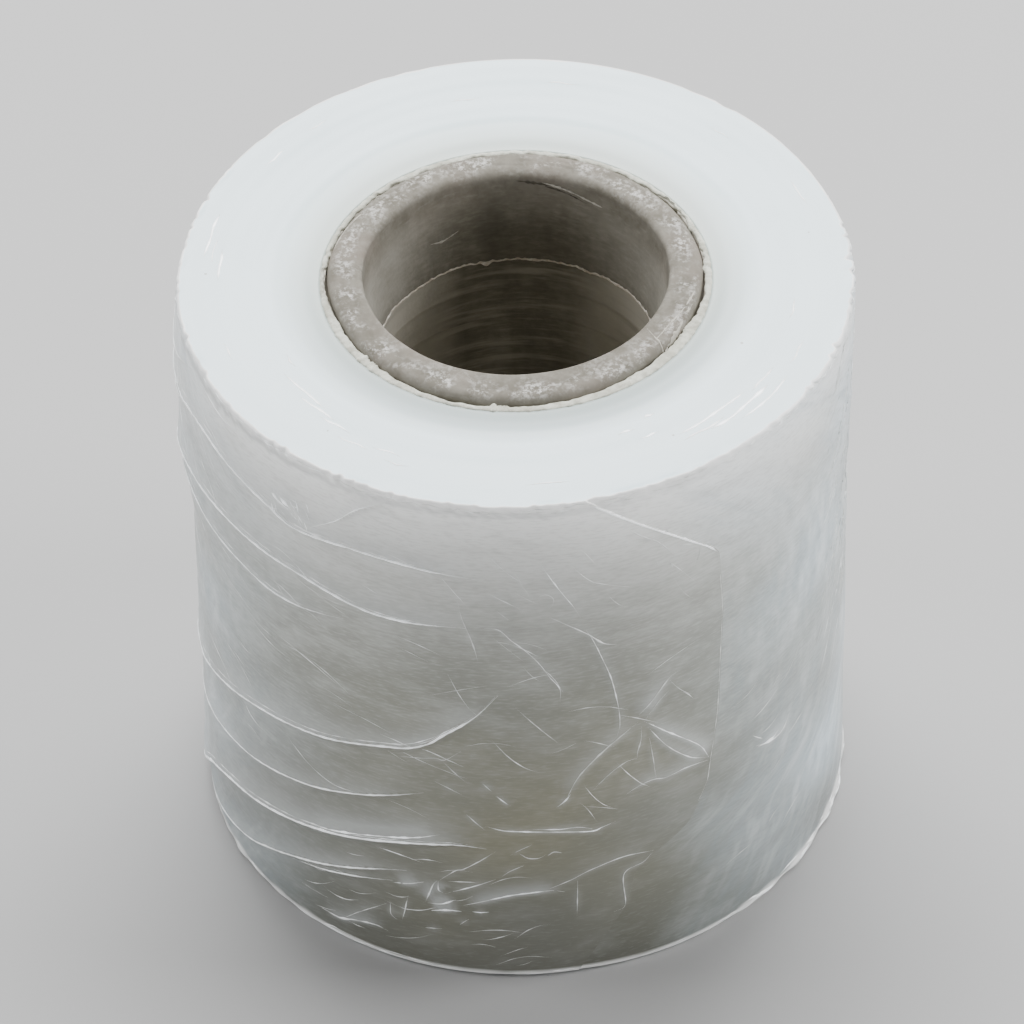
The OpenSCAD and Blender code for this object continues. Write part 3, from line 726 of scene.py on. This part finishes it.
def make_torn_ply(material):
    """The torn pale ply round the rim: a low flat ring whose inner edge is frayed."""
    a = np.linspace(-180, 180, 1000, endpoint=False)
    fray = CORE_GRAIN(a, 40)
    blunt = CORE_DENT(a * 3, 60)
    tufts = 0.8 * hump(a, -6, 4) + 0.6 * hump(a, -51, 6) + 0.5 * hump(a, 62, 5)
    inner = by_angle(RIM_OUT, a) + 0.15 + 0.10 * fray + 0.16 * blunt + 0.5 * splits(a) - tufts * np.abs(fray)
    inner = np.minimum(inner, CORE_R - 0.3)
    outer = CORE_R + 0.10 + 0.05 * fray
    top = CORE_L - 0.95 + (0.04 + 0.1 * tufts) * fray + 0.05 * blunt
    low = CORE_L - 2.4
    rings = [(outer, low), (outer, top - 0.25), (outer - 0.12, top - 0.06), (outer - 0.35, top),
             ((outer + inner) / 2 - 0.05, top + 0.02 + 0.05 * CORE_GRAIN(a, 70)), (inner + 0.12, top - 0.05),
             (inner, top - 0.25), (inner, low)]
    return revolve("torn_ply", rings, material)


def on_rim(u, radius, e):
    """A place on the rim's upper side."""
    angle = u / MM_PER_DEG
    out = radius - (by_angle(RIM_OUT, angle) - RIM_ROUND)
    depth = RIM_ROUND - np.sqrt(RIM_ROUND ** 2 - np.clip(out, 0, RIM_ROUND) ** 2)
    return polar(angle, radius, CORE_L - depth + e)


def on_mouth(u, depth, e):
    """A place on the wall of the mouth."""
    angle = u / MM_PER_DEG
    mouth, rnd = by_angle(MOUTH, angle), by_angle(ROUND, angle)
    curve = np.clip((rnd - depth) / rnd, 0, 1)
    wall = narrowing(mouth, depth) + rnd * (1 - np.sqrt(1 - curve ** 2))
    return polar(angle, wall - e, CORE_L - depth)


def make_loose_plies(pale, dark):
    """Lifted edges of the core's plies: a seam across the rim, and a lifted strip at the back of the mouth with dark
    slivers under it as its painted shadow.
    """
    seam = [ribbon([(56, 23.2), (54, 25.0), (52, 27.2), (51, 28.2)], 0.7, 0.12, 1.0, 1),
            ribbon([(51, 27.7), (58, 27.3), (68, 27.0), (76, 27.2)], 0.8, 0.12, 1.0, 2),
            ribbon([(53, 25.6), (62, 25.7), (72, 26.4), (80, 27.0)], 0.45, 0.08, 1.0, 2),
            ribbon([(-122, 27.2), (-112, 27.9), (-104, 28.2)], 0.5, 0.10, 1.0, 1)]
    join_ribbons("rim_seam", seam, on_rim, pale)
    lifted = [ribbon([(169, 1.7), (160, 2.3), (151, 3.1), (142, 3.5)], 0.5, 0.2, 1.0, 2),
              ribbon([(-158, 9.0), (-150, 10.0), (-144, 9.6)], 0.4, 0.08, 1.0, 2)]
    join_ribbons("mouth_ply_edge", lifted, on_mouth, pale)
    # Painted shadow: dark slivers under the lifted strip
    ply_shadows = [ribbon([(179, 1.5), (175, 1.7), (170, 1.9), (166, 1.9)], 0.55, 0.05, 1.0, 1),
             ribbon([(168, 2.3), (160, 2.9), (152, 3.7), (144, 4.1)], 0.30, 0.05, 1.0, 2)]
    join_ribbons("mouth_ply_shadow", ply_shadows, on_mouth, dark)


def make_torn_edge(material):
    """Pale torn fibres along the lower edge of the turned-in end, with a tuft at its back; their pale colour also
    paints the highlight where the edge catches the light.
    """
    a = np.linspace(-180, 180, 720, endpoint=False)
    tuft = 1.2 * hump(a, -168, 3.2) + 0.4 * hump(a, 172, 4) + 0.3 * hump(a, 150, 3)
    low = CORE_L - TORN_DEPTH - 0.12 - torn_line(a) - 0.5 * tuft
    high = low + 0.28 + 0.08 * CORE_GRAIN(a, 90) + 0.5 * tuft + 0.25 * hump(a, 118, 40)
    rings = [(TORN_R + 0.3, low), (TORN_R - 0.08, low), (TORN_R - 0.12 - 0.1 * tuft, (low + high) / 2),
             (TORN_R + 0.02, high), (TORN_R + 0.3, high)]
    return revolve("torn_edge", rings, material)


class Paint:
    """One material, with a short call for each kind of node that its colours are made of."""

    def __init__(self, name):
        self.material = bpy.data.materials.new(name)
        self.material.use_nodes = True
        self.tree = self.material.node_tree

    def feed(self, target, inputs):
        """Link or set a node's inputs."""
        for key, value in inputs.items():
            if isinstance(value, bpy.types.NodeSocket):
                self.tree.links.new(value, target.inputs[key])
            else:
                target.inputs[key].default_value = value

    def surface(self, inputs):
        """Feed the shader, and return the finished material."""
        self.feed(self.tree.nodes["Principled BSDF"], inputs)
        return self.material

    def add(self, kind, inputs, output=0, **settings):
        made = self.tree.nodes.new(kind)
        for key, value in settings.items():
            setattr(made, key, value)
        self.feed(made, inputs)
        return made.outputs[output]

    def attribute(self, name, output="Fac"):
        return self.add("ShaderNodeAttribute", {}, output, attribute_name=name)

    def place(self):
        return self.add("ShaderNodeNewGeometry", {}, "Position")

    def axis(self, vector, letter):
        return self.add("ShaderNodeSeparateXYZ", {0: vector}, letter)

    def scaled(self, vector, factors):
        return self.add("ShaderNodeVectorMath", {0: vector, 1: factors}, operation="MULTIPLY")

    def radius(self, flat):
        return self.add("ShaderNodeVectorMath", {0: flat}, "Value", operation="LENGTH")

    def noise(self, vector, scale, detail, rough):
        return self.add("ShaderNodeTexNoise",
                        {"Vector": vector, "Scale": scale, "Detail": detail, "Roughness": rough}, "Fac")

    def remap(self, value, low, high, to_high=1.0, to_low=0.0):
        return self.add("ShaderNodeMapRange", {"Value": value, "From Min": low, "From Max": high,
                                               "To Min": to_low, "To Max": to_high})

    def calc(self, operation, a, b=0.0):
        return self.add("ShaderNodeMath", {0: a, 1: b}, operation=operation)

    def times(self, product, *factors):
        for factor in factors:
            product = self.calc("MULTIPLY", product, factor)
        return product

    def mix(self, share, a, b):
        a, b = (c + (1.0,) if isinstance(c, tuple) else c for c in (a, b))
        return self.add("ShaderNodeMix", {0: share, 6: a, 7: b}, 2, data_type="RGBA")

    def washes(self, colour, layers):
        """The colour under a stack of washes, each (share, wash)."""
        for share, wash in layers:
            colour = self.mix(share, colour, wash)
        return colour

    def bump(self, height, distance, strength):
        return self.add("ShaderNodeBump", {"Height": height, "Distance": distance, "Strength": strength})


def film_side_material():
    """Milky stretched film: cloudy turns under fine slanted wisps, with painted light and shade: lighter near the
    top where light enters, darker towards the foot, a shadow line under the top edge, reflections and shade at the
    left and right edges, and highlights and shadows at the folds.
    """
    p = Paint("film_side")
    wind = p.attribute("wind", "Vector")
    turned = p.add("ShaderNodeVectorRotate", {"Vector": wind, "Angle": 0.03}, rotation_type="Z_AXIS")
    height = p.axis(wind, "Y")
    streak = p.noise(p.scaled(turned, (0.55, 2.6, 1)), 1.0, 2, 0.6)
    cloud = p.noise(p.scaled(turned, (0.085, 0.22, 1)), 1.0, 3, 0.62)
    fall = p.noise(p.scaled(wind, (0.28, 0.10, 1)), 1.0, 2, 0.6)
    whitening_sheen_shade, cool_sheen_shade = p.attribute("whitening_sheen_shade"), p.attribute("cool_sheen_shade")
    # Painted light and shade: the film is painted lighter towards the top, where light enters through its upper
    # face, and darker towards the foot; the pale cloud colour follows the same gradient
    pale = p.mix(p.remap(height, 20, 90), (0.30, 0.31, 0.30), (0.80, 0.82, 0.81))
    colour = p.washes(p.mix(p.remap(height, 0, 60), (0.085, 0.087, 0.07), (0.24, 0.248, 0.215)), [
        (p.calc("POWER", p.remap(height, 58, 98), 1.9), (0.96, 0.97, 0.955)),
        (p.remap(cloud, 0.46, 0.70, 0.28), pale),
        # Painted reflections and painted shade at the left and right edges: a bluish tint with bright and dark
        # streaks
        (cool_sheen_shade, (0.56, 0.66, 0.72)),
        (p.attribute("warm"), (0.27, 0.245, 0.13)),
        (p.times(cool_sheen_shade, p.remap(fall, 0.5, 0.68, 0.45)), (0.93, 0.96, 0.97)),
        (p.times(cool_sheen_shade, p.remap(fall, 0.48, 0.34, 0.5)), (0.20, 0.28, 0.33)),
        (p.remap(cloud, 0.48, 0.34, 0.14), (0.15, 0.152, 0.132)),
        (p.remap(streak, 0.48, 0.68, 0.18), (0.15, 0.15, 0.135)),
        (p.remap(streak, 0.48, 0.30, 0.20), pale),
        (p.times(p.attribute("flap"), p.remap(height, 98, 75, 0.2)), (0.17, 0.17, 0.145)),
        # Whitening along folds and creases, with a painted highlight above each crest and a painted shadow below it
        (p.remap(whitening_sheen_shade, 0, 1.2, 0.42), (0.56, 0.59, 0.60)),
        (p.remap(whitening_sheen_shade, 0, -0.6, 0.4), (0.14, 0.145, 0.14)),
        # A painted shadow line under the top edge
        (p.attribute("under"), (0.30, 0.31, 0.31)),
        # Frayed edges whiten; along the foot, widest on the right, this also paints the highlight of the ragged edge
        (p.attribute("fray"), (0.93, 0.93, 0.92)),
    ])
    return p.surface({
        "Base Color": colour, "Roughness": p.remap(streak, 0.3, 0.7, 0.48, 0.30), "IOR": 1.5,
        "Subsurface Weight": 0.15, "Subsurface Radius": (1.0, 1.0, 1.0), "Subsurface Scale": 0.018,
        "Coat Weight": 0.4, "Coat Roughness": 0.16})


def film_end_material():
    """The wound turns seen edge on: almost white, with faint rings, a few dust specks, a dusty border by the core,
    and painted shade of the dish near the core, strongest at the front.
    """
    p = Paint("film_ends")
    place = p.place()
    flat = p.scaled(place, (1, 1, 0))
    radius = p.radius(flat)
    ring_place = p.add("ShaderNodeCombineXYZ", {"X": radius})
    rings = p.noise(ring_place, 900, 2, 0.7)
    broad = p.noise(ring_place, 180, 1, 0.5)
    cloud = p.noise(place, 40, 1, 0.5)
    # Painted shade on the front of the dish round the core
    dish = p.times(p.remap(radius, 0.0370, 0.0328, 0.6), p.remap(p.axis(place, "Y"), 0.01, -0.03))
    specks = p.add("ShaderNodeTexVoronoi", {"Vector": flat, "Scale": 130.0}, "Distance")
    colour = p.washes(p.mix(p.remap(rings, 0.35, 0.7, 0.30), (0.735, 0.88, 0.93), (0.68, 0.81, 0.855)), [
        (p.remap(broad, 0.45, 0.7, 0.3), (0.65, 0.775, 0.82)),
        (p.remap(cloud, 0.45, 0.7, 0.3), (0.79, 0.93, 0.98)),
        # Darker and greener towards the core: a dusty border by the core, with painted shade of the dish
        (p.remap(radius, 0.0370, 0.0298, 0.9), (0.46, 0.52, 0.47)),
        (dish, (0.36, 0.42, 0.43)),
        (p.remap(specks, 0.035, 0.025, 0.6), (0.25, 0.22, 0.18)),
    ])
    return p.surface({"Base Color": colour, "Roughness": 0.38, "Coat Weight": 0.15, "Coat Roughness": 0.25})


def crease_material(name, glint):
    """Film creased to white: the layer "white" moves it from clear grey to white, and makes it glow as a painted
    glint of the given strength.
    """
    p = Paint(name)
    white = p.attribute("white")
    return p.surface({
        "Base Color": p.mix(white, (0.62, 0.63, 0.61), (0.97, 0.98, 0.99)),
        "Emission Color": p.mix(white, (0, 0, 0), (0.9, 0.97, 1)), "Emission Strength": glint,
        "Roughness": 0.25, "Coat Weight": 0.6, "Coat Roughness": 0.15})


def board_material():
    """Grey recycled board: fibre grain, painted shade darker down the bore, painted light on the bore's flanks,
    white burnished flecks round the rim's crown.
    """
    p = Paint("core_board")
    place = p.place()
    x, z, radius = p.axis(place, "X"), p.axis(place, "Z"), p.radius(p.scaled(place, (1, 1, 0)))
    fibre = p.noise(p.scaled(place, (420, 420, 1500)), 1.0, 3, 0.7)
    smudge = p.noise(p.scaled(place, (130, 130, 45)), 1.0, 3, 0.6)
    band = p.noise(p.scaled(place, (45, 45, 520)), 1.0, 3, 0.6)
    mottle, tint = p.noise(place, 300, 3, 0.65), p.noise(place, 90, 2, 0.5)
    flake, patch = p.noise(place, 1500, 3, 0.66), p.noise(place, 210, 3, 0.65)
    bore_shade = p.mix(p.remap(fibre, 0.4, 0.65), (0.13, 0.12, 0.088), (0.195, 0.182, 0.146))
    inside, below = p.remap(z, 0.0975, 0.0940), p.remap(z, 0.0845, 0.0835)
    # Painted light on the bore's left and right flanks
    lit_flank = p.remap(p.calc("ABSOLUTE", x), 0.008, 0.019, 0.75)
    crown = p.times(p.remap(radius, 0.0240, 0.0252), p.remap(radius, 0.0276, 0.0264))
    flecks = p.times(p.remap(flake, 0.46, 0.60), p.remap(patch, 0.42, 0.60), p.remap(z, 0.0992, 0.1001),
                     p.remap(crown, 0, 1, 1, 0.25))
    colour = p.washes(p.mix(p.remap(mottle, 0.35, 0.7), (0.125, 0.114, 0.09), (0.195, 0.182, 0.152)), [
        (p.remap(tint, 0.5, 0.7, 0.4), (0.225, 0.19, 0.16)),
        (p.remap(fibre, 0.55, 0.75, 0.35), (0.28, 0.268, 0.235)),
        # Painted shade: the board is darker down the bore
        (p.remap(z, 0.0990, 0.0935, 0.75), bore_shade),
        (p.times(inside, p.remap(smudge, 0.5, 0.7, 0.4)), (0.26, 0.245, 0.21)),
        (p.times(inside, p.remap(smudge, 0.5, 0.3, 0.5)), (0.075, 0.068, 0.05)),
        # Painted light on the flanks inside the bore and below the torn edge
        (p.times(inside, lit_flank, 0.3), (0.60, 0.58, 0.53)),
        (p.times(below, lit_flank), (0.60, 0.57, 0.50)),
        (p.times(below, p.remap(band, 0.5, 0.64, 0.6)), (0.36, 0.34, 0.29)),
        (p.times(flecks, 0.75), (0.54, 0.53, 0.50)),
        (p.attribute("ply"), (0.53, 0.51, 0.44)),
    ])
    return p.surface({"Base Color": colour, "Roughness": p.remap(flecks, 0, 1, 0.5, 0.85),
                      "Normal": p.bump(mottle, 0.0004, 0.4)})


def fibre_material(name, pale, dark):
    """Torn paper fibre."""
    p = Paint(name)
    place = p.place()
    mottle, broad = p.noise(place, 700, 4, 0.7), p.noise(place, 120, 2, 0.5)
    colour = p.washes(p.mix(p.remap(mottle, 0.4, 0.65), pale, dark), [(p.remap(broad, 0.5, 0.7, 0.5), dark)])
    return p.surface({"Base Color": colour, "Roughness": 0.9, "Normal": p.bump(mottle, 0.0003, 0.7)})


def make_camera():
    """The photograph's view: level behind the roll's middle, then turned by the three small angles."""
    back = Vector((0, -math.cos(CAM_ELEVATION), math.sin(CAM_ELEVATION)))
    fwd = -back
    right = Vector((1, 0, 0))
    up = right.cross(fwd)
    turn = Matrix.Rotation(CAM_YAW, 3, up)
    right, fwd = turn @ right, turn @ fwd
    turn = Matrix.Rotation(CAM_PITCH, 3, right)
    fwd, up = turn @ fwd, turn @ up
    turn = Matrix.Rotation(CAM_ROLL, 3, fwd)
    right, up = turn @ right, turn @ up
    data = bpy.data.cameras.new("camera")
    data.sensor_width = SENSOR_MM
    data.lens = CAM_FOCAL_PX / PHOTO_PX * SENSOR_MM
    camera = bpy.data.objects.new("camera", data)
    pose = Matrix((right, up, -fwd)).transposed().to_4x4()
    pose.translation = back * CAM_DISTANCE + Vector((0, 0, (FILM_W / 2 + CORE_PROUD) * MM))
    camera.matrix_world = pose
    bpy.context.scene.collection.objects.link(camera)
    bpy.context.scene.camera = camera


# Lights as (name, place, height of the target, size, power)
LIGHTS = [
    ("softbox_top", (0.0, 0.42, 0.72), 0.08, (0.7, 0.5), 17.5),
    ("strip_left", (-0.6, 0.05, 0.25), 0.06, (0.25, 0.6), 3.1),
    ("strip_right", (0.6, 0.0, 0.25), 0.06, (0.25, 0.6), 5.6),
    ("fill_front", (0.0, -0.75, 0.16), 0.06, (0.5, 0.25), 2.7),
]
WORLD_STRENGTH = 0.07
FLOOR_GREY = (0.40, 0.40, 0.40, 1)
FLOOR_REACH = 3


def make_lights():
    for name, place, aim, size, power in LIGHTS:
        data = bpy.data.lights.new(name, "AREA")
        data.shape = "RECTANGLE"
        data.size, data.size_y = size
        data.energy = power
        light = bpy.data.objects.new(name, data)
        light.location = place
        light.rotation_euler = (Vector((0, 0, aim)) - Vector(place)).to_track_quat("-Z", "Y").to_euler()
        light.visible_camera = False
        bpy.context.scene.collection.objects.link(light)
    world = bpy.data.worlds.new("world")
    world.use_nodes = True
    world.node_tree.nodes["Background"].inputs["Color"].default_value = (1, 1, 1, 1)
    world.node_tree.nodes["Background"].inputs["Strength"].default_value = WORLD_STRENGTH
    bpy.context.scene.world = world


def make_floor():
    mesh = bpy.data.meshes.new("floor")
    corners = [(x * FLOOR_REACH, y * FLOOR_REACH, 0) for x, y in ((-1, -1), (1, -1), (1, 1), (-1, 1))]
    mesh.from_pydata(corners, [], [(0, 1, 2, 3)])
    mesh.materials.append(Paint("floor_grey").surface({"Base Color": FLOOR_GREY, "Roughness": 0.8}))
    floor = bpy.data.objects.new("floor", mesh)
    bpy.context.scene.collection.objects.link(floor)


make_camera()
make_film(film_side_material(), film_end_material())
make_creases(crease_material("film_crease_glint", 0.6))
make_nicks(crease_material("film_glint", 1.8))
make_core(board_material())
make_torn_ply(fibre_material("torn_fibre", (0.60, 0.61, 0.53), (0.38, 0.375, 0.31)))
make_loose_plies(fibre_material("ply_fibre", (0.46, 0.44, 0.39), (0.36, 0.34, 0.29)),
                 fibre_material("slit_shadow", (0.05, 0.045, 0.035), (0.09, 0.08, 0.06)))
# The torn edge's pale fibre colour also paints its highlight
make_torn_edge(fibre_material("edge_fibre_highlight", (0.80, 0.76, 0.68), (0.52, 0.45, 0.37)))
make_floor()
make_lights()
